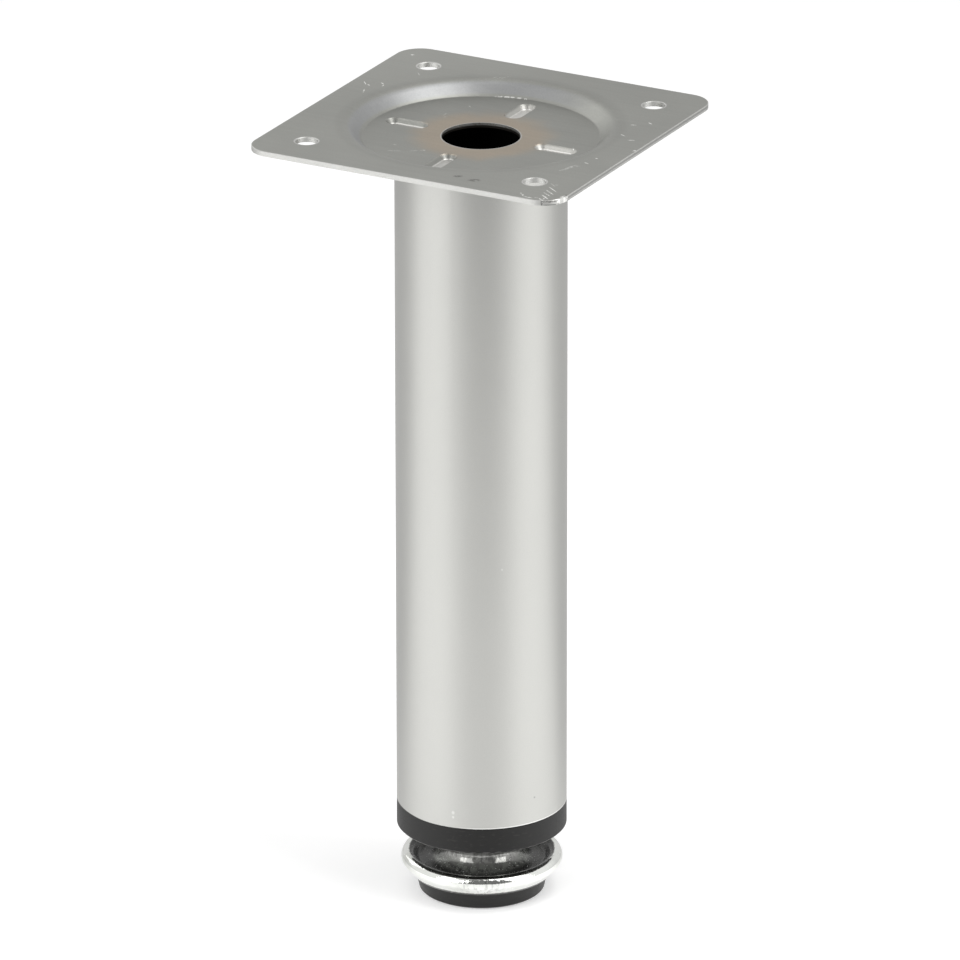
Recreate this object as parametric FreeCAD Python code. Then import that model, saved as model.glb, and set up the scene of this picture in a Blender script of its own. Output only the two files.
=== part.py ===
import FreeCAD, Part
import math
import os

os.makedirs("parts", exist_ok=True)

# Adjustable furniture leg: a steel tube under a pressed mounting plate, with a screw foot below.
# Sizes are in millimetres. The floor is z = 0, the tube's axis is the Z axis, and the plate's
# sides run along X and Y. The foot is drawn screwed right home.

# Mounting plate, one pressed square of sheet steel
plate_side = 85.0
plate_sheet = 1.25
plate_corner_radius = 6.5
plate_edge_chamfer = 0.1
screw_hole_spacing = 62.0
screw_hole_diameter = 5.5
centre_hole_diameter = 19.2
dish_depth = 3.3
dish_floor_radius = 28.8
dish_wall_angle = 42.0
dish_shoulder_radius = 4.0
dish_crease_radius = 0.6

# Welding ridges, pressed down from the dish floor across the tube's wall
ridge_count = 4
ridge_length = 11.4
ridge_width = 4.6
ridge_depth = 1.2
ridge_wall_angle = 50.0

# Leg tube
tube_diameter = 42.0
tube_wall = 1.5
tube_length = 171.8

# End insert, one plastic moulding: a flange ring under the tube and a ribbed plug inside it
insert_flange_height = 6.6
insert_edge_chamfer = 0.5
insert_floor = 3.0
plug_height = 15.0
plug_wall = 2.0
plug_clearance = 0.35
plug_chamfer = 1.0
grip_rib_count = 8
grip_rib_radius = 1.0
grip_rib_clearance = 0.03
hub_wall = 2.6
hub_cover = 2.4
web_count = 6
web_thickness = 1.8
web_drop = 2.0

# Hexagon nut moulded into the insert
nut_across_flats = 16.0
nut_height = 8.4
nut_chamfer_angle = 30.0

# Foot stud, screwed into the nut and riveted to the cup
stud_diameter = 10.0
stud_length = 28.0
stud_chamfer = 1.0
thread_clearance = 0.05
stud_passage_clearance = 0.4
tenon_diameter = 8.0
tenon_clearance = 0.05
rivet_head_diameter = 13.0
rivet_head_height = 2.0
rivet_dome_height = 1.2

# Foot cup, pressed from sheet: neck, bowl, rolled rim and a skirt turned in under it
cup_sheet = 0.8
cup_height = 12.25
neck_diameter = 18.2
neck_edge_radius = 1.2
neck_foot_radius = 4.6
bowl_floor_height = 2.9
bowl_wall_angle = 55.0
bowl_corner_radius = 1.6
rim_diameter = 40.0
rim_bead_radius = 1.8
rim_bead_height = 3.6
skirt_angle = 48.6

# Glide, a plastic disc held by the cup's skirt
glide_foot_diameter = 31.2
glide_edge_round = 0.8
glide_proud_height = 4.5
glide_play = 0.25

# Gap between the cup's neck and the insert when the foot is screwed home
home_gap = 0.3

# Heights of the stack, from the floor up
lip_z = glide_proud_height
neck_top_z = lip_z + cup_height
insert_bottom_z = neck_top_z + home_gap
tube_bottom_z = insert_bottom_z + insert_flange_height
tube_top_z = tube_bottom_z + tube_length
dish_floor_z = tube_top_z + plate_sheet
plate_top_z = dish_floor_z + dish_depth

tube_radius = tube_diameter / 2
tube_bore_radius = tube_radius - tube_wall
origin = FreeCAD.Vector(0, 0, 0)
up = FreeCAD.Vector(0, 0, 1)


def section_point(radius, height):
    """A point of a section that is turned about the Z axis."""
    return FreeCAD.Vector(radius, 0, height)


def left_of(direction):
    """The unit vector a quarter turn anticlockwise from a direction of the section."""
    return FreeCAD.Vector(-direction.z, 0, direction.x)


def heading(degrees):
    """The direction in the section that climbs at this angle from the outward radius."""
    angle = math.radians(degrees)
    return FreeCAD.Vector(math.cos(angle), 0, math.sin(angle))


def directions_of(corners):
    """Unit directions of the straight legs between corners."""
    return [(after - before).normalize() for before, after in zip(corners, corners[1:])]


def miter(before, after):
    """The shift of a corner when both legs beside it move one unit to the left."""
    return (left_of(before) + left_of(after)) * (1 / (1 + before.dot(after)))


def offset_corners(corners, distance):
    """The corners of the path that runs this distance to the left of the given one."""
    directions = directions_of(corners)
    moved = [corners[0] + left_of(directions[0]) * distance]
    for corner, before, after in zip(corners[1:-1], directions, directions[1:]):
        moved.append(corner + miter(before, after) * distance)
    moved.append(corners[-1] + left_of(directions[-1]) * distance)
    return moved


def offset_radii(corners, radii, distance):
    """Bend radii of the offset path: left-hand bends tighten and right-hand ones open."""
    directions = directions_of(corners)
    moved = []
    for radius, before, after in zip(radii, directions, directions[1:]):
        turns_left = left_of(before).dot(after) > 0
        moved.append(radius - distance if turns_left else radius + distance)
    return moved


def bent_path(corners, radii):
    """Edges of a path whose inner corners are rounded to the given radii."""
    directions = directions_of(corners)
    edges = []
    start = corners[0]
    for corner, radius, before, after in zip(corners[1:-1], radii, directions, directions[1:]):
        half_turn = before.getAngle(after) / 2
        set_back = radius * math.tan(half_turn)
        arc_start = corner - before * set_back
        arc_end = corner + after * set_back
        toward_centre = (after - before).normalize()
        arc_middle = corner + toward_centre * (radius / math.cos(half_turn) - radius)
        if start.distanceToPoint(arc_start) > 1e-4:
            edges.append(Part.makeLine(start, arc_start))
        edges.append(Part.Arc(arc_start, arc_middle, arc_end).toShape())
        start = arc_end
    edges.append(Part.makeLine(start, corners[-1]))
    return edges


def sheet_section(corners, radii, thickness):
    """Section of bent sheet: the path is the face seen, the sheet lies to the right of it."""
    back_corners = offset_corners(corners, -thickness)
    back_radii = offset_radii(corners, radii, -thickness)
    edges = bent_path(corners, radii)
    edges += bent_path(back_corners, back_radii)
    edges.append(Part.makeLine(corners[0], back_corners[0]))
    edges.append(Part.makeLine(corners[-1], back_corners[-1]))
    return Part.Face(Part.Wire(Part.__sortEdges__(edges)))


def turned(face):
    """Solid of revolution of a section about the tube's axis."""
    return face.revolve(origin, up, 360)


def turned_polygon(points):
    """Solid of revolution of a closed polygon of section points."""
    return turned(Part.Face(Part.makePolygon(points + [points[0]])))


def ring_of(shape, count):
    """Copies of a shape at equal angles about the tube's axis."""
    copies = []
    for index in range(count):
        copy = shape.copy()
        copy.rotate(origin, up, 360.0 * index / count)
        copies.append(copy)
    return copies


def rounded_square(side, corner_radius, z, height):
    """Upright prism with a square outline and rounded corners."""
    corner = side / 2
    block = Part.makeBox(side, side, height, FreeCAD.Vector(-corner, -corner, z))
    upright = [edge for edge in block.Edges if abs(edge.tangentAt(edge.FirstParameter).z) > 0.5]
    return block.makeFillet(corner_radius, upright)


def slot_outline(length, width, centre_radius, z):
    """Closed outline of a round-ended slot that lies along X."""
    half_straight = (length - width) / 2
    near_x = centre_radius - half_straight
    far_x = centre_radius + half_straight
    half_width = width / 2
    lower_near = FreeCAD.Vector(near_x, -half_width, z)
    lower_far = FreeCAD.Vector(far_x, -half_width, z)
    upper_far = FreeCAD.Vector(far_x, half_width, z)
    upper_near = FreeCAD.Vector(near_x, half_width, z)
    far_tip = FreeCAD.Vector(far_x + half_width, 0, z)
    near_tip = FreeCAD.Vector(near_x - half_width, 0, z)
    edges = [
        Part.makeLine(lower_near, lower_far),
        Part.Arc(lower_far, far_tip, upper_far).toShape(),
        Part.makeLine(upper_far, upper_near),
        Part.Arc(upper_near, near_tip, lower_near).toShape(),
    ]
    return Part.Wire(edges)


def tapered_slot(length, width, z_wide, z_narrow, taper):
    """Slot whose walls close in by the taper between its wide and its narrow height."""
    centre_radius = tube_radius - tube_wall / 2
    wide = slot_outline(length, width, centre_radius, z_wide)
    narrow = slot_outline(length - 2 * taper, width - 2 * taper, centre_radius, z_narrow)
    return Part.makeLoft([wide, narrow], True, True)


def make_ridge_recess():
    """Hollow of one ridge, seen from above in the dish floor."""
    taper = ridge_depth / math.tan(math.radians(ridge_wall_angle))
    return tapered_slot(ridge_length, ridge_width, dish_floor_z, dish_floor_z - ridge_depth, taper)


def make_ridge_bump():
    """Underside of one ridge, one sheet thickness outside its hollow."""
    taper = ridge_depth / math.tan(math.radians(ridge_wall_angle))
    growth = plate_sheet * math.tan(math.radians(ridge_wall_angle / 2))
    underside_z = dish_floor_z - plate_sheet
    length = ridge_length + 2 * growth
    width = ridge_width + 2 * growth
    return tapered_slot(length, width, underside_z, underside_z - ridge_depth, taper)


def make_mounting_plate():
    """Square plate with a dish, four welding ridges, four screw holes and a central hole."""
    wall_run = dish_depth / math.tan(math.radians(dish_wall_angle))
    top_face = [
        section_point(centre_hole_diameter / 2, dish_floor_z),
        section_point(dish_floor_radius, dish_floor_z),
        section_point(dish_floor_radius + wall_run, plate_top_z),
        section_point(plate_side, plate_top_z),
    ]
    radii = [dish_crease_radius, dish_shoulder_radius]
    pressing = turned(sheet_section(top_face, radii, plate_sheet))
    blank_height = dish_depth + plate_sheet
    blank = rounded_square(plate_side, plate_corner_radius, tube_top_z, blank_height)
    plate = pressing.common(blank)
    plate = plate.fuse(ring_of(make_ridge_bump(), ridge_count))
    plate = plate.cut(ring_of(make_ridge_recess(), ridge_count))
    half_spacing = screw_hole_spacing / 2
    hole_base = FreeCAD.Vector(half_spacing, half_spacing, tube_top_z)
    hole = Part.makeCylinder(screw_hole_diameter / 2, blank_height, hole_base)
    plate = plate.cut(ring_of(hole, 4)).removeSplitter()
    top_rims = [edge for edge in plate.Edges if edge.BoundBox.ZMin > plate_top_z - 1e-3]
    return plate.makeChamfer(plate_edge_chamfer, top_rims)


def make_leg_tube():
    """Round tube, notched at its top end where the plate's ridges are welded in."""
    outside = Part.makeCylinder(tube_radius, tube_length, section_point(0, tube_bottom_z))
    bore = Part.makeCylinder(tube_bore_radius, tube_length, section_point(0, tube_bottom_z))
    return outside.cut(bore).cut(ring_of(make_ridge_bump(), ridge_count))


def make_nut_blank():
    """Hexagon with both faces' corners turned off, before its bore is cut."""
    nut_z = insert_bottom_z + insert_floor
    corner_radius = nut_across_flats / 2 / math.cos(math.radians(30))
    corners = []
    for index in range(7):
        angle = math.radians(60 * index)
        corners.append(FreeCAD.Vector(math.cos(angle), math.sin(angle), 0) * corner_radius)
    prism = Part.Face(Part.makePolygon(corners)).extrude(up * nut_height)
    prism.translate(up * nut_z)
    face_radius = nut_across_flats / 2 * 0.95
    drop = (corner_radius - face_radius) * math.tan(math.radians(nut_chamfer_angle))
    turned_blank = turned_polygon([
        section_point(0, nut_z),
        section_point(face_radius, nut_z),
        section_point(corner_radius, nut_z + drop),
        section_point(corner_radius, nut_z + nut_height - drop),
        section_point(face_radius, nut_z + nut_height),
        section_point(0, nut_z + nut_height),
    ])
    return prism.common(turned_blank)


def make_insert_nut():
    """Hexagon nut with a bore that clears the stud's thread by a running fit."""
    bore_radius = stud_diameter / 2 + thread_clearance
    bore = Part.makeCylinder(bore_radius, neck_top_z + stud_length)
    return make_nut_blank().cut(bore)


def make_end_insert():
    """Plastic insert: flange ring, floor, plug wall with grip ribs, hub round the nut and webs."""
    plug_radius = tube_bore_radius - plug_clearance
    plug_bore_radius = plug_radius - plug_wall
    plug_top_z = tube_bottom_z + plug_height
    floor_top_z = insert_bottom_z + insert_floor
    nut_corner_radius = nut_across_flats / 2 / math.cos(math.radians(30))
    hub_radius = nut_corner_radius + hub_wall
    hub_top_z = floor_top_z + nut_height + hub_cover
    passage_radius = stud_diameter / 2 + stud_passage_clearance
    body = turned_polygon([
        section_point(passage_radius, insert_bottom_z),
        section_point(tube_radius - insert_edge_chamfer, insert_bottom_z),
        section_point(tube_radius, insert_bottom_z + insert_edge_chamfer),
        section_point(tube_radius, tube_bottom_z),
        section_point(plug_radius, tube_bottom_z),
        section_point(plug_radius, plug_top_z - plug_chamfer),
        section_point(plug_radius - plug_chamfer, plug_top_z),
        section_point(plug_bore_radius, plug_top_z),
        section_point(plug_bore_radius, floor_top_z),
        section_point(hub_radius, floor_top_z),
        section_point(hub_radius, hub_top_z),
        section_point(passage_radius, hub_top_z),
    ])

    web_start = passage_radius + (hub_radius - passage_radius) / 2
    web_end = plug_bore_radius + plug_wall / 2
    web_base = FreeCAD.Vector(web_start, -web_thickness / 2, floor_top_z)
    web = Part.makeBox(web_end - web_start, web_thickness, hub_top_z - web_drop - floor_top_z, web_base)
    webs = ring_of(web, web_count)

    rib_centre = tube_bore_radius - grip_rib_clearance - grip_rib_radius
    rib_height = plug_height - 2 * plug_chamfer
    rib_base = section_point(rib_centre, tube_bottom_z)
    ribs = ring_of(Part.makeCylinder(grip_rib_radius, rib_height, rib_base), grip_rib_count)
    body = body.fuse(webs + ribs)
    return body.cut(make_nut_blank()).removeSplitter()


def make_foot_stud():
    """Threaded stud, drawn at its thread's outer diameter, with its riveted tenon below."""
    stud_radius = stud_diameter / 2
    tenon_radius = tenon_diameter / 2
    head_radius = rivet_head_diameter / 2
    stud_top_z = neck_top_z + stud_length
    head_top_z = neck_top_z - cup_sheet
    head_bottom_z = head_top_z - rivet_head_height
    head_edge_z = head_bottom_z + rivet_dome_height
    corners = [
        section_point(0, stud_top_z),
        section_point(stud_radius - stud_chamfer, stud_top_z),
        section_point(stud_radius, stud_top_z - stud_chamfer),
        section_point(stud_radius, neck_top_z),
        section_point(tenon_radius, neck_top_z),
        section_point(tenon_radius, head_top_z),
        section_point(head_radius, head_top_z),
        section_point(head_radius, head_edge_z),
    ]
    dome_radius = (head_radius ** 2 + rivet_dome_height ** 2) / (2 * rivet_dome_height)
    dome_centre = section_point(0, head_bottom_z + dome_radius)
    half_dome = math.degrees(math.asin(head_radius / dome_radius)) / 2
    dome_middle = dome_centre + heading(half_dome - 90) * dome_radius
    dome_bottom = section_point(0, head_bottom_z)
    edges = [Part.makeLine(a, b) for a, b in zip(corners, corners[1:])]
    edges.append(Part.Arc(corners[-1], dome_middle, dome_bottom).toShape())
    edges.append(Part.makeLine(dome_bottom, corners[0]))
    return turned(Part.Face(Part.Wire(edges)))


def cup_face_corners():
    """Corners of the cup's upper face: neck, bowl, rolled rim and skirt, from the stud outwards."""
    neck_radius = neck_diameter / 2
    floor_z = lip_z + bowl_floor_height
    bead_centre = section_point(rim_diameter / 2 - rim_bead_radius, lip_z + rim_bead_height)
    rising = heading(bowl_wall_angle)
    falling = heading(skirt_angle - 180)
    over_top = heading((bowl_wall_angle + skirt_angle - 180) / 2)
    bead_start = bead_centre + left_of(rising) * rim_bead_radius
    bead_end = bead_centre + left_of(falling) * rim_bead_radius
    wall_foot = bead_start - rising * ((bead_start.z - floor_z) / rising.z)
    lip = bead_end - falling * ((bead_end.z - lip_z) / falling.z)
    return [
        section_point(tenon_diameter / 2 + tenon_clearance, neck_top_z),
        section_point(neck_radius, neck_top_z),
        section_point(neck_radius, floor_z),
        wall_foot,
        bead_centre + miter(rising, over_top) * rim_bead_radius,
        bead_centre + miter(over_top, falling) * rim_bead_radius,
        lip,
    ]


def make_foot_cup():
    """Pressed cup with its neck's top pierced for the stud's tenon."""
    radii = [
        neck_edge_radius,
        neck_foot_radius,
        bowl_corner_radius,
        rim_bead_radius,
        rim_bead_radius,
    ]
    return turned(sheet_section(cup_face_corners(), radii, cup_sheet))


def make_foot_glide():
    """Plastic disc whose flared collar sits inside the cup's skirt with a little play."""
    play_line = offset_corners(cup_face_corners(), -(cup_sheet + glide_play))
    skirt_top = play_line[-2]
    skirt_end = play_line[-1]
    top_z = lip_z + bowl_floor_height - cup_sheet - glide_play
    flare = (top_z - skirt_end.z) / (skirt_top.z - skirt_end.z)
    collar = skirt_end + (skirt_top - skirt_end) * flare
    foot_radius = glide_foot_diameter / 2
    sole_edge = section_point(foot_radius - glide_edge_round, 0)
    edge_middle = section_point(
        foot_radius - glide_edge_round * (1 - math.sin(math.radians(45))),
        glide_edge_round * (1 - math.cos(math.radians(45))),
    )
    side_start = section_point(foot_radius, glide_edge_round)
    top_centre = section_point(0, top_z)
    edges = [
        Part.makeLine(origin, sole_edge),
        Part.Arc(sole_edge, edge_middle, side_start).toShape(),
        Part.makeLine(side_start, skirt_end),
        Part.makeLine(skirt_end, collar),
        Part.makeLine(collar, top_centre),
        Part.makeLine(top_centre, origin),
    ]
    return turned(Part.Face(Part.Wire(edges)))


def export_part(name, shape):
    """Writes one sub-part after checking that it is a valid closed solid."""
    if not shape.isValid() or not shape.Solids:
        raise ValueError(name + " is not a valid solid")
    shape.exportStep(os.path.join("parts", name + ".step"))
    box = shape.BoundBox
    print("%-15s solids %d  volume %9.1f  z %7.2f to %7.2f" % (
        name, len(shape.Solids), shape.Volume, box.ZMin, box.ZMax))


export_part("mounting_plate", make_mounting_plate())
export_part("leg_tube", make_leg_tube())
export_part("end_insert", make_end_insert())
export_part("insert_nut", make_insert_nut())
export_part("foot_stud", make_foot_stud())
export_part("foot_cup", make_foot_cup())
export_part("foot_glide", make_foot_glide())
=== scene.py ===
import math

import bpy
from mathutils import Euler, Matrix, Vector


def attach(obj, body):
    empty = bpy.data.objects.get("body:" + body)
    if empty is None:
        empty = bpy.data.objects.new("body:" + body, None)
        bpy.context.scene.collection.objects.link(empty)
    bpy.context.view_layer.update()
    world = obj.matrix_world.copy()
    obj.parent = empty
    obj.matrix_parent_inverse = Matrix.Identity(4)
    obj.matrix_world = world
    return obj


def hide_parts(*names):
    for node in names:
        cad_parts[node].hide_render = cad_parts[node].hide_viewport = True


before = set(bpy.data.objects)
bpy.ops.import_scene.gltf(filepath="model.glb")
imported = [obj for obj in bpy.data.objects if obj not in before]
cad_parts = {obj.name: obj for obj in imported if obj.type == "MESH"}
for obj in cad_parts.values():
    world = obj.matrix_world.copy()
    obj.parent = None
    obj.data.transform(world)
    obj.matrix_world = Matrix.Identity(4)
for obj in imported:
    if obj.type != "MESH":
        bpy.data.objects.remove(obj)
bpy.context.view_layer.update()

# Studio: the leg stands on a white sheet, seen from above by a long lens. Soft lamps stand left,
# right, behind on the left and overhead, and the dim room behind the camera darkens bright metal.
camera_azimuth = 28.04
camera_yaw = 0.0075
camera_pitch = 21.29
camera_roll = -0.07
camera_distance = 2.587
camera_height = 1.1156
camera_lens = 426.0
camera_sensor = 36.0
camera_reach = 20.0
lamp_aim_height = 0.1

azimuth = math.radians(camera_azimuth)
heading = math.radians(camera_azimuth + camera_yaw)
camera_turn = Euler((math.radians(90 - camera_pitch), 0, heading)).to_matrix()
camera_turn = camera_turn @ Matrix.Rotation(math.radians(camera_roll), 3, "Z")
camera_data = bpy.data.cameras.new("camera")
camera_data.lens = camera_lens
camera_data.sensor_width = camera_sensor
camera_data.clip_end = camera_reach
camera = bpy.data.objects.new("camera", camera_data)
camera.matrix_world = camera_turn.to_4x4()
camera.location = (
    camera_distance * math.sin(azimuth),
    -camera_distance * math.cos(azimuth),
    camera_height,
)
bpy.context.collection.objects.link(camera)
bpy.context.scene.camera = camera
bpy.context.scene.view_settings.view_transform = "Standard"


def soft_lamp(name, from_camera, rise, distance, width, tall, power):
    """A soft lamp aimed at the leg, so many degrees to the camera's right and above the floor."""
    angle = azimuth + math.radians(from_camera)
    reach = distance * math.cos(math.radians(rise))
    data = bpy.data.lights.new(name, "AREA")
    data.shape = "RECTANGLE"
    data.size = width
    data.size_y = tall
    data.energy = power
    lamp = bpy.data.objects.new(name, data)
    lamp.location = (
        reach * math.sin(angle),
        -reach * math.cos(angle),
        lamp_aim_height + distance * math.sin(math.radians(rise)),
    )
    aim = Vector((0, 0, lamp_aim_height)) - lamp.location
    lamp.rotation_euler = aim.to_track_quat("-Z", "Y").to_euler()
    bpy.context.collection.objects.link(lamp)


soft_lamp("lamp_left", from_camera=-48, rise=26, distance=1.2, width=0.7, tall=1.0, power=8.2)
soft_lamp("lamp_right", from_camera=60, rise=26, distance=1.2, width=0.7, tall=1.0, power=6)
soft_lamp("lamp_behind", from_camera=-136, rise=30, distance=1.2, width=0.6, tall=0.5, power=0.8)
soft_lamp("lamp_above", from_camera=75, rise=66, distance=1.1, width=0.7, tall=0.6, power=3)


class Knob:
    """A shader value: arithmetic on it adds the Math nodes that work it out."""

    def __init__(self, board, socket):
        self.board = board
        self.socket = socket

    def maths(self, operation, *others):
        return self.board.math(operation, self, *others)

    def __add__(self, other):
        return self.maths("ADD", other)

    def __radd__(self, other):
        return self.maths("ADD", other)

    def __sub__(self, other):
        return self.maths("SUBTRACT", other)

    def __rsub__(self, other):
        return self.board.math("SUBTRACT", other, self)

    def __mul__(self, other):
        return self.maths("MULTIPLY", other)

    def __rmul__(self, other):
        return self.maths("MULTIPLY", other)

    def __truediv__(self, other):
        return self.maths("DIVIDE", other)

    def root(self):
        return self.maths("SQRT")

    def size(self):
        return self.maths("ABSOLUTE")

    def at_most(self, other):
        return self.maths("MINIMUM", other)

    def at_least(self, other):
        return self.maths("MAXIMUM", other)

    def swing(self, width):
        """Noise from 0 to 1 turned into a swing about zero."""
        return (self - 0.5) * width


class Board:
    """The node tree of one material or of the world."""

    def __init__(self, tree):
        self.tree = tree
        self.coordinates = None
        tree.nodes.clear()

    def node(self, kind, settings=None, **values):
        """Adds a node, sets its settings first and then its sockets' values or links."""
        made = self.tree.nodes.new(kind)
        for key, value in (settings or {}).items():
            setattr(made, key, value)
        for key, value in values.items():
            numbered = key[0] == "i" and key[1:].isdigit()
            self.feed(made.inputs[int(key[1:]) if numbered else key.replace("_", " ")], value)
        return made

    def feed(self, socket, value):
        if isinstance(value, Knob):
            self.tree.links.new(value.socket, socket)
        else:
            socket.default_value = value

    def math(self, operation, *terms):
        made = self.tree.nodes.new("ShaderNodeMath")
        made.operation = operation
        for socket, term in zip(made.inputs, terms):
            self.feed(socket, term)
        return Knob(self, made.outputs[0])

    def smooth(self, value, nothing, full):
        """A soft step of a value, from 0 at one limit to 1 at the other."""
        made = self.node("ShaderNodeMapRange", {"interpolation_type": "SMOOTHSTEP"},
                         Value=value, From_Min=nothing, From_Max=full)
        return Knob(self, made.outputs["Result"])

    def band(self, value, start, full, fade, end):
        """1 from full to fade, falling softly to 0 at start and at end."""
        return self.smooth(value, start, full) * self.smooth(value, end, fade)

    def grid(self):
        """The object coordinates as one vector."""
        if self.coordinates is None:
            self.coordinates = self.node("ShaderNodeTexCoord")
        return Knob(self, self.coordinates.outputs["Object"])

    def place(self):
        """The three object coordinates, in metres."""
        parts = self.node("ShaderNodeSeparateXYZ", Vector=self.grid())
        return [Knob(self, parts.outputs[axis]) for axis in "XYZ"]

    def rays(self):
        """Two switches: rays straight from the camera, and rays that a surface sends on."""
        path = self.node("ShaderNodeLightPath")
        glossy = Knob(self, path.outputs["Is Glossy Ray"])
        passing = Knob(self, path.outputs["Is Transmission Ray"])
        return Knob(self, path.outputs["Is Camera Ray"]), glossy + passing

    def noise(self, scale, detail, stretch=(1, 1, 1), roughness=0.5):
        """Noise of a given number of waves per metre, stretched along an axis if asked."""
        scaled = self.node("ShaderNodeMapping", Vector=self.grid(), Scale=stretch)
        made = self.node("ShaderNodeTexNoise", Vector=Knob(self, scaled.outputs[0]),
                         Scale=scale, Detail=detail, Roughness=roughness)
        return Knob(self, made.outputs["Fac"])

    def mix(self, factor, first, second, blend="MIX"):
        """A colour between two colours."""
        made = self.node("ShaderNodeMix", {"data_type": "RGBA", "blend_type": blend})
        self.feed(made.inputs["Factor"], factor)
        self.feed(made.inputs[6], first)
        self.feed(made.inputs[7], second)
        return Knob(self, made.outputs[2])

    def coats(self, colour, *layers):
        """Lays more colours over a colour, each with the share that shows."""
        for share, over in layers:
            colour = self.mix(share, colour, over)
        return colour


def span(across, along):
    """The level distance that two offsets at right angles make."""
    return (across * across + along * along).root()


white_light = (1, 1, 1, 1)
camera_side = (math.sin(azimuth) * 0.87, -math.cos(azimuth) * 0.87, 0.5)
room_in_metal = 0.95
camera_side_dimming = 0.77
back_side_dimming = 0.2
room_on_matt = 0.5

world = bpy.data.worlds.new("studio")
world.use_nodes = True
bpy.context.scene.world = world
room = Board(world.node_tree)
seen, mirrored = room.rays()
direction = Knob(room, room.node("ShaderNodeTexCoord").outputs["Generated"])
dot_product = {"operation": "DOT_PRODUCT"}
toward = room.node("ShaderNodeVectorMath", dot_product, i0=direction, i1=camera_side)
toward = Knob(room, toward.outputs["Value"])
dim_side = room.smooth(toward, 0.6, 0.86)
back_side = room.smooth(toward, -0.1, -0.5)
reflected = room_in_metal - camera_side_dimming * dim_side - back_side_dimming * back_side
strength = seen + (1.0 - seen) * (mirrored * reflected + (1.0 - mirrored) * room_on_matt)
light = room.node("ShaderNodeBackground", Color=white_light, Strength=strength)
room.node("ShaderNodeOutputWorld", Surface=Knob(room, light.outputs[0]))

floor_width = 8
floor_drop = 0.0002
sheet_white = 0.8
front_dimming = 0.66
back_dimming = 0.3
glow_seen = 0.36
glow_mirrored = 0.2
glow_around = 0.1
glow_beside = 0.36
facing_softness = 0.0004

bpy.ops.object.select_all(action="DESELECT")
bpy.ops.mesh.primitive_plane_add(size=floor_width, location=(0, 0, -floor_drop))
floor = bpy.context.object
floor.name = "floor"
white_sheet = bpy.data.materials.new("white_sheet")
white_sheet.use_nodes = True
sheet = Board(white_sheet.node_tree)
seen, mirrored = sheet.rays()
x, y, _ = sheet.place()
forward = x * math.sin(azimuth) - y * math.cos(azimuth)
sideways = x * math.cos(azimuth) + y * math.sin(azimuth)
facing = forward / (sideways * sideways + forward * forward + facing_softness).root()
beside = sheet.band(facing, -0.7, 0.3, 0.62, 1.0)
around = sheet.band(span(sideways, forward), 0.04, 0.1, 0.2, 0.6)
around = around * sheet.smooth(facing, -0.75, -0.1)
far_front = sheet.smooth(forward, 0.05, 0.9)
behind = sheet.smooth(0.0 - forward, 0.0, 0.12)
# In reflections the sheet is painted darker far in front and behind, and a painted glow brightens
# it beside and around the leg, standing in for lamp light falling on the floor.
white = sheet_white - mirrored * (far_front * front_dimming + behind * back_dimming)
glow = mirrored * (glow_mirrored + around * glow_around + beside * glow_beside)
glow = seen * glow_seen + glow
matt = Knob(sheet, sheet.node("ShaderNodeBsdfDiffuse", Color=white).outputs[0])
shine = sheet.node("ShaderNodeEmission", Color=white_light, Strength=glow)
both = sheet.node("ShaderNodeAddShader", i0=matt, i1=Knob(sheet, shine.outputs[0]))
sheet.node("ShaderNodeOutputMaterial", Surface=Knob(sheet, both.outputs[0]))
floor.data.materials.append(white_sheet)


# Mounting plate: a pressed square of sheet steel with a dull grey finish, welded to the tube. The
# heat tinted it brown round the middle hole. Its face is scratched and its front corner rubbed.
def new_finish(name):
    """A new material and its board."""
    material = bpy.data.materials.new(name)
    material.use_nodes = True
    return material, Board(material.node_tree)


def finish_surface(board, bump_layers, **values):
    """Ends a board with one Principled surface. Bump layers are pairs of a height and its depth."""
    normal = None
    for height, depth in bump_layers:
        raised = board.node("ShaderNodeBump", Height=height, Distance=depth, Strength=1.0)
        if normal is not None:
            board.feed(raised.inputs["Normal"], normal)
        normal = Knob(board, raised.outputs[0])
    surface = board.node("ShaderNodeBsdfPrincipled", Normal=normal, **values)
    board.node("ShaderNodeOutputMaterial", Surface=Knob(board, surface.outputs[0]))


def finish_node(node, material):
    """Gives a CAD node its finish."""
    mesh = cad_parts[node].data
    mesh.materials.clear()
    mesh.materials.append(material)


def mark(board, middle, size, turn=0.0):
    """A soft-edged oval mark: its middle and size in millimetres, turned about the height."""
    placed = board.node(
        "ShaderNodeMapping",
        {"vector_type": "TEXTURE"},
        Vector=board.grid(),
        Location=[c / 1000 for c in middle],
        Rotation=(0, 0, math.radians(turn)),
        Scale=[s / 2000 for s in size],
    )
    placed = Knob(board, placed.outputs[0])
    away = board.node("ShaderNodeVectorMath", {"operation": "LENGTH"}, i0=placed)
    return board.smooth(Knob(board, away.outputs["Value"]), 1.0, 0.45)


def all_marks(board, marks):
    """The strongest of several marks at each place."""
    strongest = mark(board, *marks[0])
    for one in marks[1:]:
        strongest = strongest.at_least(mark(board, *one))
    return strongest


# Bright marks: scratches and corner wear, but the two on the dish floor beside the ridges, at
# heights 197.0 and 196.7, are painted highlights.
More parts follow.
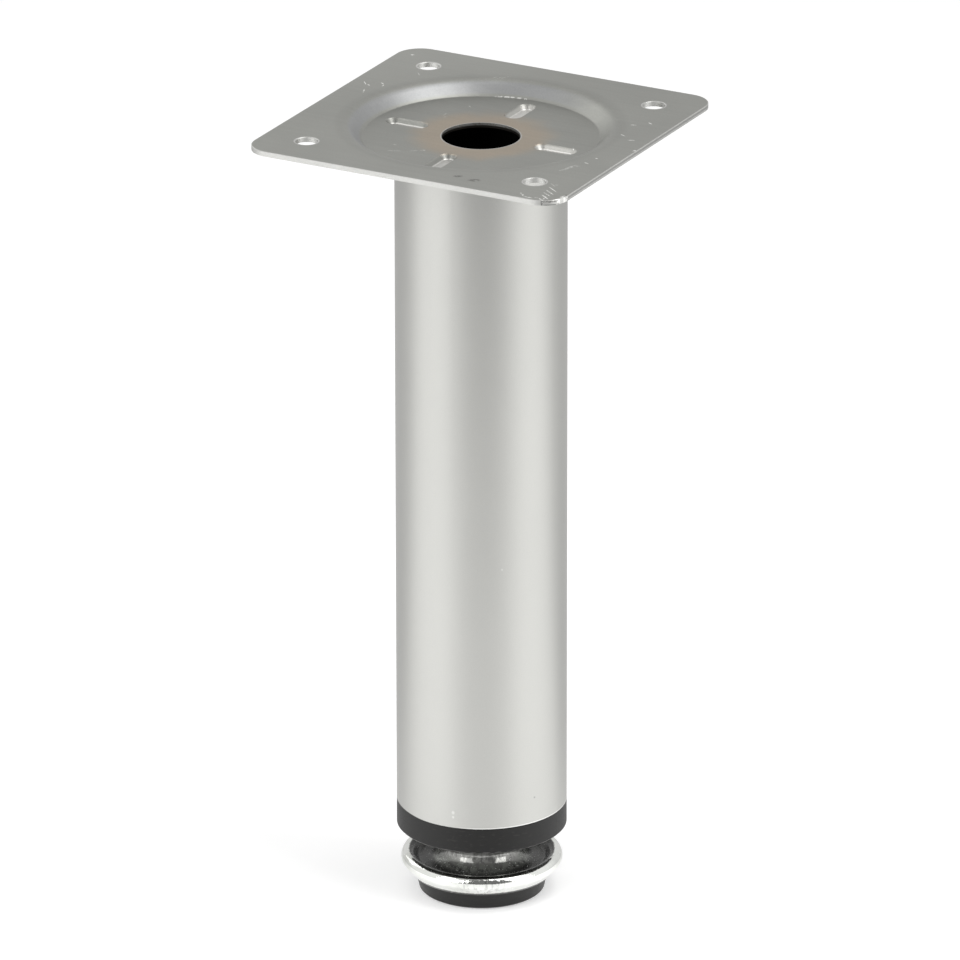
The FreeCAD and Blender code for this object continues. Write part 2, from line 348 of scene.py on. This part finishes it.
bright_scratches_and_highlights = [
    ((-38.8, 12.7, 200), (3.2, 0.35, 9), -50),
    ((-36.3, 7.5, 200), (3.2, 0.4, 9), -69),
    ((-37.3, 11.8, 200), (1.3, 0.5, 9), -28),
    ((-34.9, 14.4, 200), (1.8, 0.5, 9), -38),
    ((-34.0, 13.1, 200), (1.8, 0.4, 9), -80),
    ((-38.4, 36.4, 200), (1.6, 0.8, 9), 0),
    ((33.2, 15.9, 200), (2.0, 0.45, 9), 20),
    ((36.3, 18.8, 200), (2.0, 0.45, 9), -28),
    ((34.4, 8.1, 200), (2.2, 0.45, 9), -25),
    ((37.8, 5.9, 200), (2.2, 0.45, 9), 22),
    ((41.9, -0.5, 200), (1.6, 0.7, 1), 70),
    ((35.8, -13.6, 200), (1.8, 0.4, 9), -19),
    ((36.4, -9.5, 200), (0.9, 0.6, 9), -20),
    ((-2.9, 28.6, 197.0), (0.9, 0.7, 9), 8),
    ((23.9, 2.4, 196.7), (1.5, 0.4, 9), -50),
    ((37.3, -33.8, 200), (5.2, 0.4, 9), -36),
    ((37.6, -35.9, 200), (4.6, 0.55, 9), -35),
    ((37.7, -37.5, 200), (4.2, 0.45, 9), -33),
    ((38.1, -39.3, 200), (4.6, 0.5, 9), -37),
    ((38.4, -40.3, 200), (4.2, 0.5, 9), -79),
    ((38.2, -41.4, 200), (3.0, 0.6, 9), -35),
    ((32.7, -40.4, 200), (4.0, 0.6, 9), -44),
    ((34.6, -41.3, 200), (2.8, 0.6, 9), -1),
    ((41.8, -39.1, 200), (3.8, 0.5, 9), 39),
    ((42.1, -37.0, 200), (3.0, 1.6, 9), 60),
]
faint_scratches = [
    ((-12.7, 31.1, 199), (2.0, 0.25, 9), 58),
    ((-11.6, 31.4, 199), (2.0, 0.25, 9), 58),
    ((-10.7, 31.8, 199), (2.0, 0.25, 9), 58),
    ((-10.0, 33.0, 199.2), (2.0, 0.3, 9), 50),
    ((-12.4, 17.6, 196.7), (1.8, 0.45, 9), -35),
    ((-15.1, 9.7, 196.7), (2.6, 0.4, 9), 95),
    ((-14.2, 8.1, 196.7), (1.5, 0.4, 9), 20),
    ((-13.5, -19.2, 196.7), (4.4, 0.4, 9), 21),
    ((-8.9, -16.7, 196.7), (4.8, 0.4, 9), 36),
    ((-7.3, -15.5, 196.7), (1.0, 0.8, 9), 0),
    ((-15.6, -15.2, 196.7), (2.0, 0.4, 9), -8),
    ((-30.4, 24.7, 200), (3.0, 0.4, 9), -52),
    ((33.7, -18.2, 200), (5.4, 1.2, 9), 76),
    ((32.9, -20.6, 200), (2.6, 0.5, 9), 60),
    ((35.9, -31.0, 200), (3.4, 0.4, 9), -38),
    ((36.7, -30.6, 200), (1.0, 0.6, 9), 28),
    ((36.5, -40.7, 200), (1.4, 0.8, 9), 3),
    ((34.6, -16.6, 200), (2.6, 0.6, 9), 20),
]
dark_spots = [
    ((13.0, -36.1, 200), (3.0, 1.8, 9), 30),
    ((17.8, -36.8, 200), (4.0, 2.2, 9), 28),
    ((39.9, -41.1, 199.7), (3.4, 1.4, 0.9), 38),
    ((41.3, -39.8, 199.7), (1.6, 1.2, 0.8), 45),
    ((41.9, -36.0, 200), (1.1, 1.1, 9), 0),
]
corner_spot = ((38.7, -42.3, 199.4), (0.7, 2.4, 3), 10)
dull_steel = (0.342, 0.344, 0.32, 1)
wall_steel = (0.342, 0.346, 0.346, 1)
heat_brown = (0.415, 0.357, 0.285, 1)
cut_steel = (0.56, 0.56, 0.54, 1)
edge_shade_grey = (0.3, 0.3, 0.29, 1)
corner_edge_black = (0.04, 0.04, 0.035, 1)
hole_shade = (0.05, 0.045, 0.04, 1)
ridge_shade = (0.2, 0.2, 0.19, 1)
ridge_sheen = (0.62, 0.61, 0.58, 1)
ridge_highlight_white = (0.9, 0.89, 0.86, 1)
scratch_and_highlight_white = (0.9, 0.9, 0.87, 1)
spot_black = (0.045, 0.04, 0.035, 1)
corner_centre = 0.036
screw_hole_centre = 0.031
crease_radius = 0.0287
ridge_reach = (0.0135, 0.0145, 0.0262, 0.0270)
ridge_height = (0.19515, 0.1954, 0.1962, 0.1967)
wall_height = (0.1970, 0.1975, 0.1992, 0.1998)
shoulder_reach = (0.0312, 0.0332, 0.0342, 0.0362)
edge_shade_height = (0.1992, 0.19935, 0.1997, 0.19985)
crease_highlight_reach = (-0.0108, -0.0096, -0.0044, -0.0038)

plate_steel, steel = new_finish("plate_steel")
x, y, z = steel.place()
radius = span(x, y)
clouds = steel.noise(70, 4)
grain = steel.noise(2400, 3, roughness=0.6)
rolled = steel.noise(700, 3, stretch=(0.04, 1, 1))
tint_edge = radius + steel.noise(160, 3).swing(0.006)

ridges = steel.smooth(x.size().at_most(y.size()), 0.0026, 0.0021)
ridges = ridges * steel.band(radius, *ridge_reach)
ridges = ridges * steel.band(z, *ridge_height)
ridge_bottom_highlight = ridges * steel.smooth(z, 0.1958, 0.1956)
right_side = steel.smooth(x + y, -0.002, 0.002)
heat_tint = steel.smooth(tint_edge, 0.0195, 0.0125) * (1.0 - ridges)
dish_wall = steel.band(z, *wall_height) * steel.smooth(x, 0.02, 0.0)
shoulder_shade = steel.band(radius, *shoulder_reach)
dish_floor_shade = steel.smooth(z, 0.1972, 0.1968)
left_corner_light = steel.smooth(y - x, 0.03, 0.075)
# Painted shade and light in the tone: darker towards +y, on the dish's shoulder and over its floor,
# and lighter towards the corner at negative x and positive y. The noise is the steel's own tone.
tone = 0.93 - y * 0.9 + clouds.swing(0.16) + grain.swing(0.22) + rolled.swing(0.12)
tone = tone - shoulder_shade * 0.06 - dish_floor_shade * 0.05 + left_corner_light * 0.12

past_corner_x = (x.size() - corner_centre).at_least(0.0)
past_corner_y = (y.size() - corner_centre).at_least(0.0)
cut_edge = steel.smooth(span(past_corner_x, past_corner_y), 0.00622, 0.0064)
from_hole = span(x.size() - screw_hole_centre, y.size() - screw_hole_centre)
cut_edge = cut_edge.at_least(steel.smooth(from_hole, 0.0032, 0.0031))
middle_rim = steel.smooth(radius, 0.0100, 0.0097)
middle_rim_foot = middle_rim * steel.smooth(z, 0.1963, 0.1959)
cut_edge = cut_edge.at_least(middle_rim * steel.smooth(grain, 0.3, 0.5))
# Painted shade across the middle of the cut edge on the +x side.
edge_side_shade = steel.smooth(x, 0.0422, 0.0424) * steel.band(z, *edge_shade_height)
# The lower part of the front corner's cut edge is coloured near black, and so is a dark mark on it.
corner_dark_edge = steel.smooth(x - y, 0.0806, 0.0810) * cut_edge * steel.smooth(z, 0.19905, 0.1989)
corner_dark_edge = corner_dark_edge.at_least(mark(steel, *corner_spot))
steel_colour = steel.coats(
    dull_steel,
    (dish_wall, wall_steel),
    (heat_tint, heat_brown),
    (cut_edge, cut_steel),
    (edge_side_shade * 0.7, edge_shade_grey),
    (corner_dark_edge * 0.6, corner_edge_black),
    (middle_rim_foot, hole_shade),
    # On the ridges: painted shade on the left ones, a painted sheen on the right ones and a painted
    # highlight along their bottoms.
    (ridges * (1.0 - right_side) * 0.3, ridge_shade),
    (ridges * right_side * 0.6, ridge_sheen),
    (ridge_bottom_highlight * 0.6, ridge_highlight_white),
)
steel_colour = steel.mix(1.0, steel_colour, tone, "MULTIPLY")

# A painted highlight along the far part of the dish's crease, laid on together with the bright
# scratches.
crease_highlight = steel.smooth((radius - crease_radius).size(), 0.0004, 0.0002)
crease_highlight = crease_highlight * steel.band(x, *crease_highlight_reach)
crease_highlight = crease_highlight * steel.smooth(y, 0.0, 0.01)
broken = steel.smooth(steel.noise(1500, 2), 0.38, 0.52)
scratches_and_highlights = all_marks(steel, bright_scratches_and_highlights).at_least(crease_highlight * 0.6) * broken
scratches_and_highlights = scratches_and_highlights.at_least(all_marks(steel, faint_scratches) * broken * 0.35)
spotted = all_marks(steel, dark_spots) * steel.smooth(steel.noise(1100, 2), 0.36, 0.56)
steel_colour = steel.coats(steel_colour, (scratches_and_highlights, scratch_and_highlight_white), (spotted * 0.6, spot_black))
finish_surface(
    steel,
    [(grain, 0.00001)],
    Base_Color=steel_colour,
    Metallic=0.9,
    Roughness=0.4 + clouds.swing(0.1) - scratches_and_highlights * 0.1,
)
finish_node("mounting_plate", plate_steel)


# Leg tube: drawn steel tube with a satin silver finish, welded under the plate. It is even but
# for a fine fleck, and has a few nicks on its front, a dark speck and a rubbed lower edge. Its
# bore is painted black as shade, and a painted shadow line runs round its lower end on the left.
tube_nicks = [
    ((3.1, -20.8, 27.6), (1.0, 4, 1.2), 0),
    ((3.1, -20.8, 26.4), (0.8, 4, 0.9), 0),
    ((14.0, -15.6, 92.0), (0.4, 4, 0.7), 0),
]
tube_speck = ((19.2, -8.5, 30.3), (0.7, 0.7, 0.7))
satin_silver = (0.5, 0.5, 0.479, 1)
rubbed_silver = (0.9, 0.9, 0.88, 1)
speck_grey = (0.1, 0.1, 0.1, 1)
shade_black = (0.02, 0.02, 0.018, 1)
gap_shadow_slope = 0.06

tube_paint, paint = new_finish("tube_paint")
x, y, z = paint.place()
sideways = x * math.cos(azimuth) + y * math.sin(azimuth)
fleck = paint.noise(5200, 2)
drift = paint.noise(45, 3)
tone = 1.0 + fleck.swing(0.12) + drift.swing(0.05)
nicked = all_marks(paint, tube_nicks)
# Painted shade: the bore is coloured black, and a painted shadow line darkens the tube's lower end
# on its left, where it meets the insert.
bore_shade = paint.smooth(span(x, y), 0.0203, 0.02)
gap_shadow = paint.smooth(z + sideways * gap_shadow_slope, 0.0229, 0.0227)
rubbed = paint.smooth(z, 0.02395, 0.0238) * paint.smooth(sideways, -0.008, 0.0)
tube_colour = paint.coats(
    paint.mix(1.0, satin_silver, tone, "MULTIPLY"),
    (nicked * 0.3, rubbed_silver),
    (mark(paint, *tube_speck) * 0.4, speck_grey),
    (rubbed * 0.7, rubbed_silver),
    (bore_shade.at_least(gap_shadow), shade_black),
)
finish_surface(
    paint,
    [(fleck, 0.000012)],
    Base_Color=tube_colour,
    Metallic=0.9,
    Roughness=0.36 + drift.swing(0.05),
)
finish_node("leg_tube", tube_paint)


# End insert: a moulded plug of black plastic, pushed into the tube's lower end as far as its
# flange. The moulding is slightly grained and dull, and the flange's lower edge is worn paler.
moulded_black = (0.006, 0.0058, 0.0054, 1)
scuffed_black = (0.04, 0.038, 0.034, 1)
worn_grey = (0.16, 0.155, 0.15, 1)
worn_edge_height = (0.01702, 0.0171, 0.0174, 0.0176)

black_plastic, plastic = new_finish("black_plastic")
_, _, z = plastic.place()
pores = plastic.noise(3000, 3, roughness=0.6)
scuffs = plastic.noise(500, 4, stretch=(1, 1, 3))
scuffed = plastic.smooth(scuffs, 0.56, 0.72)
worn_edge = plastic.band(z, *worn_edge_height) * plastic.smooth(scuffs, 0.4, 0.6)
plastic_colour = plastic.coats(
    moulded_black,
    (scuffed * 0.35, scuffed_black),
    (worn_edge * 0.6, worn_grey),
)
finish_surface(
    plastic,
    [(pores, 0.00002)],
    Base_Color=plastic_colour,
    Roughness=0.46 + pores.swing(0.2) + scuffed * 0.12,
    Specular_IOR_Level=0.35,
)
finish_node("end_insert", black_plastic)


# Insert nut: a hexagon nut of zinc-plated steel, chamfered at both faces. It is moulded into the
# insert's hub and is only seen down the stud's passage.
dull_zinc = (0.5, 0.5, 0.47, 1)
clean_zinc = (0.64, 0.64, 0.61, 1)

zinc_steel, zinc = new_finish("zinc_steel")
spangle = zinc.noise(900, 3)
finish_surface(
    zinc,
    [(spangle, 0.00001)],
    Base_Color=zinc.mix(zinc.noise(120, 3), dull_zinc, clean_zinc),
    Metallic=1.0,
    Roughness=0.3 + spangle.swing(0.2),
)
finish_node("insert_nut", zinc_steel)


# Foot stud: a zinc-plated steel stud with a rolled M10 thread, riveted through the cup's neck.
# The thread is modelled here, in the place of the plain stud.
thread_pitch = 0.0015
thread_crest = 0.005
thread_root = 0.00408
thread_turns = 21
thread_steps = 40
round_steps = 64
stud_foot = 0.01675
stud_top = 0.04475
stud_end_chamfer = 0.001
tenon_radius = 0.004
head_radius = 0.0065
head_top = 0.01595
head_edge = 0.01515
head_bottom = 0.01395
rivet_overlap = 0.0003
blank_start = stud_foot - 0.001
blank_radius = thread_crest * 0.9999
blank_end = stud_top - 0.00001
doubles = 0.000001
smooth_up_to = math.radians(25)


def start_profile(name, points):
    """A chain of edges in the plane y = 0, drawn point by point from a single vertex."""
    bpy.ops.object.select_all(action="DESELECT")
    bpy.ops.mesh.primitive_plane_add(size=0.001, location=(points[0][0], 0, points[0][1]))
    piece = bpy.context.object
    piece.name = name
    bpy.ops.object.mode_set(mode="EDIT")
    bpy.ops.mesh.select_all(action="SELECT")
    bpy.ops.mesh.merge(type="CENTER")
    for before, after in zip(points, points[1:]):
        step = (after[0] - before[0], 0, after[1] - before[1])
        bpy.ops.mesh.extrude_vertices_move(TRANSFORM_OT_translate={"value": step})
    bpy.ops.object.mode_set(mode="OBJECT")
    bpy.ops.object.transform_apply(location=True, rotation=True, scale=True)
    return piece


def wind(piece, steps, turns=1, rise=0.0):
    """Turns a profile about the leg's axis, and up by the rise in each turn."""
    winding = piece.modifiers.new("winding", "SCREW")
    winding.axis = "Z"
    winding.angle = math.tau
    winding.screw_offset = rise
    winding.iterations = turns
    winding.steps = steps
    winding.render_steps = steps
    winding.use_merge_vertices = True
    winding.merge_threshold = doubles
    bpy.ops.object.modifier_apply(modifier=winding.name)


def close_up():
    """Merges doubles in the active piece and turns all its faces outwards."""
    bpy.ops.object.mode_set(mode="EDIT")
    bpy.ops.mesh.select_all(action="SELECT")
    bpy.ops.mesh.remove_doubles(threshold=doubles)
    bpy.ops.mesh.normals_make_consistent(inside=False)
    bpy.ops.object.mode_set(mode="OBJECT")


def turned_solid(name, points):
    """A solid turned about the leg's axis from a profile that starts and ends on it."""
    piece = start_profile(name, points)
    wind(piece, round_steps)
    close_up()
    return piece


def join_solid(piece, other, operation):
    """Joins a second solid to a piece, or keeps what they share."""
    joining = piece.modifiers.new("join", "BOOLEAN")
    joining.operation = operation
    joining.solver = "EXACT"
    joining.object = other
    bpy.ops.object.select_all(action="DESELECT")
    piece.select_set(True)
    bpy.context.view_layer.objects.active = piece
    bpy.ops.object.modifier_apply(modifier=joining.name)
    bpy.data.objects.remove(other)


stud = start_profile("foot_stud_thread", [
    (thread_root, 0),
    (thread_root, thread_pitch * 0.14),
    (thread_crest, thread_pitch * 0.46),
    (thread_crest, thread_pitch * 0.58),
    (thread_root, thread_pitch * 0.9),
    (thread_root, thread_pitch),
])
wind(stud, thread_steps, thread_turns, thread_pitch)
bpy.ops.object.mode_set(mode="EDIT")
bpy.ops.mesh.select_all(action="SELECT")
bpy.ops.transform.translate(value=(0, 0, stud_foot - 1.5 * thread_pitch))
for end, up in ((stud_foot, -1), (stud_top, 1)):
    bpy.ops.mesh.select_all(action="SELECT")
    bpy.ops.mesh.bisect(
        plane_co=(0, 0, end), plane_no=(0, 0, up), use_fill=True, clear_outer=True
    )
bpy.ops.object.mode_set(mode="OBJECT")
close_up()

blank = turned_solid("stud_blank", [
    (0, blank_start),
    (blank_radius, blank_start),
    (blank_radius, stud_top - stud_end_chamfer),
    (thread_crest - stud_end_chamfer, blank_end),
    (0, blank_end),
])
join_solid(stud, blank, "INTERSECT")
rivet = turned_solid("stud_rivet", [
    (0, head_bottom),
    (head_radius * 0.35, head_bottom + 0.0001),
    (head_radius * 0.7, head_bottom + 0.0005),
    (head_radius * 0.9, head_bottom + 0.0009),
    (head_radius, head_edge),
    (head_radius, head_top),
    (tenon_radius, head_top),
    (tenon_radius, stud_foot + rivet_overlap),
    (0, stud_foot + rivet_overlap),
])
join_solid(stud, rivet, "UNION")
close_up()
bpy.ops.object.shade_smooth_by_angle(angle=smooth_up_to)
stud.data.materials.clear()
stud.data.materials.append(zinc_steel)
finish_node("foot_stud", zinc_steel)
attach(stud, "screw_foot")
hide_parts("foot_stud")


# Foot cup: pressed from sheet steel and brightly plated, with a neck, a bowl and a rolled rim.
# The bowl is coloured near black and specked with polishing dust; the neck is dark grey, painted
# lighter towards its top.
cup_lip_marks = [
    ((6.6, -16.6, 4.7), (1.9, 1.4, 0.8), 22),
    ((14.6, -10.6, 4.8), (3.2, 1.4, 0.8), 52),
]
rim_rub = ((9.1, -17.0, 7.4), (15, 7, 7), 28)
bright_plate = (0.83, 0.84, 0.81, 1)
bloomed_plate = (0.7, 0.71, 0.67, 1)
rubbed_plate = (0.3, 0.3, 0.3, 1)
dark_neck_grey = (0.24, 0.24, 0.23, 1)
streaked_plate = (0.34, 0.34, 0.32, 1)
neck_light_plate = (0.46, 0.46, 0.44, 1)
neck_film_grey = (0.3, 0.31, 0.285, 1)
lip_black = (0.05, 0.05, 0.05, 1)
bowl_black = (0.06, 0.06, 0.057, 1)
dust_white = (0.8, 0.8, 0.78, 1)
neck_film_reach = (0.0096, 0.0104, 0.0112, 0.0126)

bright_plating, plating = new_finish("bright_plating")
x, y, z = plating.place()
radius = span(x, y)
ripples = plating.noise(210, 2)
streaks = plating.noise(1100, 3, stretch=(1, 1, 0.25))
dust = plating.noise(2300, 2)
specks = plating.smooth(dust, 0.66, 0.71)
bloom = plating.smooth(plating.noise(150, 4), 0.4, 0.7)
ragged = streaks.swing(0.003)
in_bowl = plating.smooth(radius + ragged, 0.0096, 0.0108) * plating.smooth(z, 0.0126, 0.0112)
in_bowl = in_bowl * plating.smooth(radius + ragged * 0.15, 0.0182, 0.0178)
on_neck = plating.smooth(radius, 0.0125, 0.0105)
upper_neck_light = plating.smooth(z, 0.0088, 0.0104) * on_neck
neck_film = plating.band(radius + ragged, *neck_film_reach)
neck_film = neck_film * plating.smooth(streaks, 0.3, 0.6)
lip_marks = all_marks(plating, cup_lip_marks) * plating.smooth(dust, 0.4, 0.55)
rubbed = mark(plating, *rim_rub)
rubbed_streaks = rubbed * plating.smooth(streaks, 0.5, 0.6)
# Painted light: higher up, the neck is painted lighter in streaks, standing in for bright
# reflections there.
neck_colour = plating.coats(
    dark_neck_grey,
    (plating.smooth(streaks, 0.4, 0.64), streaked_plate),
    (upper_neck_light * plating.smooth(streaks, 0.36, 0.6), neck_light_plate),
)
cup_colour = plating.coats(
    bright_plate,
    (bloom, bloomed_plate),
    (rubbed_streaks * 0.35, rubbed_plate),
    (on_neck, neck_colour),
    (lip_marks * 0.8, lip_black),
    (in_bowl, bowl_black),
    (neck_film * 0.8, neck_film_grey),
    (specks * 0.6, dust_white),
)
finish_surface(
    plating,
    [(ripples, 0.00006), (streaks * (1.0 + rubbed * 3.0), 0.00004)],
    Base_Color=cup_colour,
    Metallic=1.0 - (on_neck * 0.5).at_least(in_bowl * 0.45),
    Specular_IOR_Level=0.25,
    Roughness=0.05 + bloom * 0.06 + on_neck * 0.06 + in_bowl * 0.15 + specks * 0.3,
)
finish_node("foot_cup", bright_plating)


# Foot glide: a disc of the same black plastic, on which the leg stands. Its flared collar is held
# by the cup's turned-in skirt, so that the cup can turn above it.
finish_node("foot_glide", black_plastic)
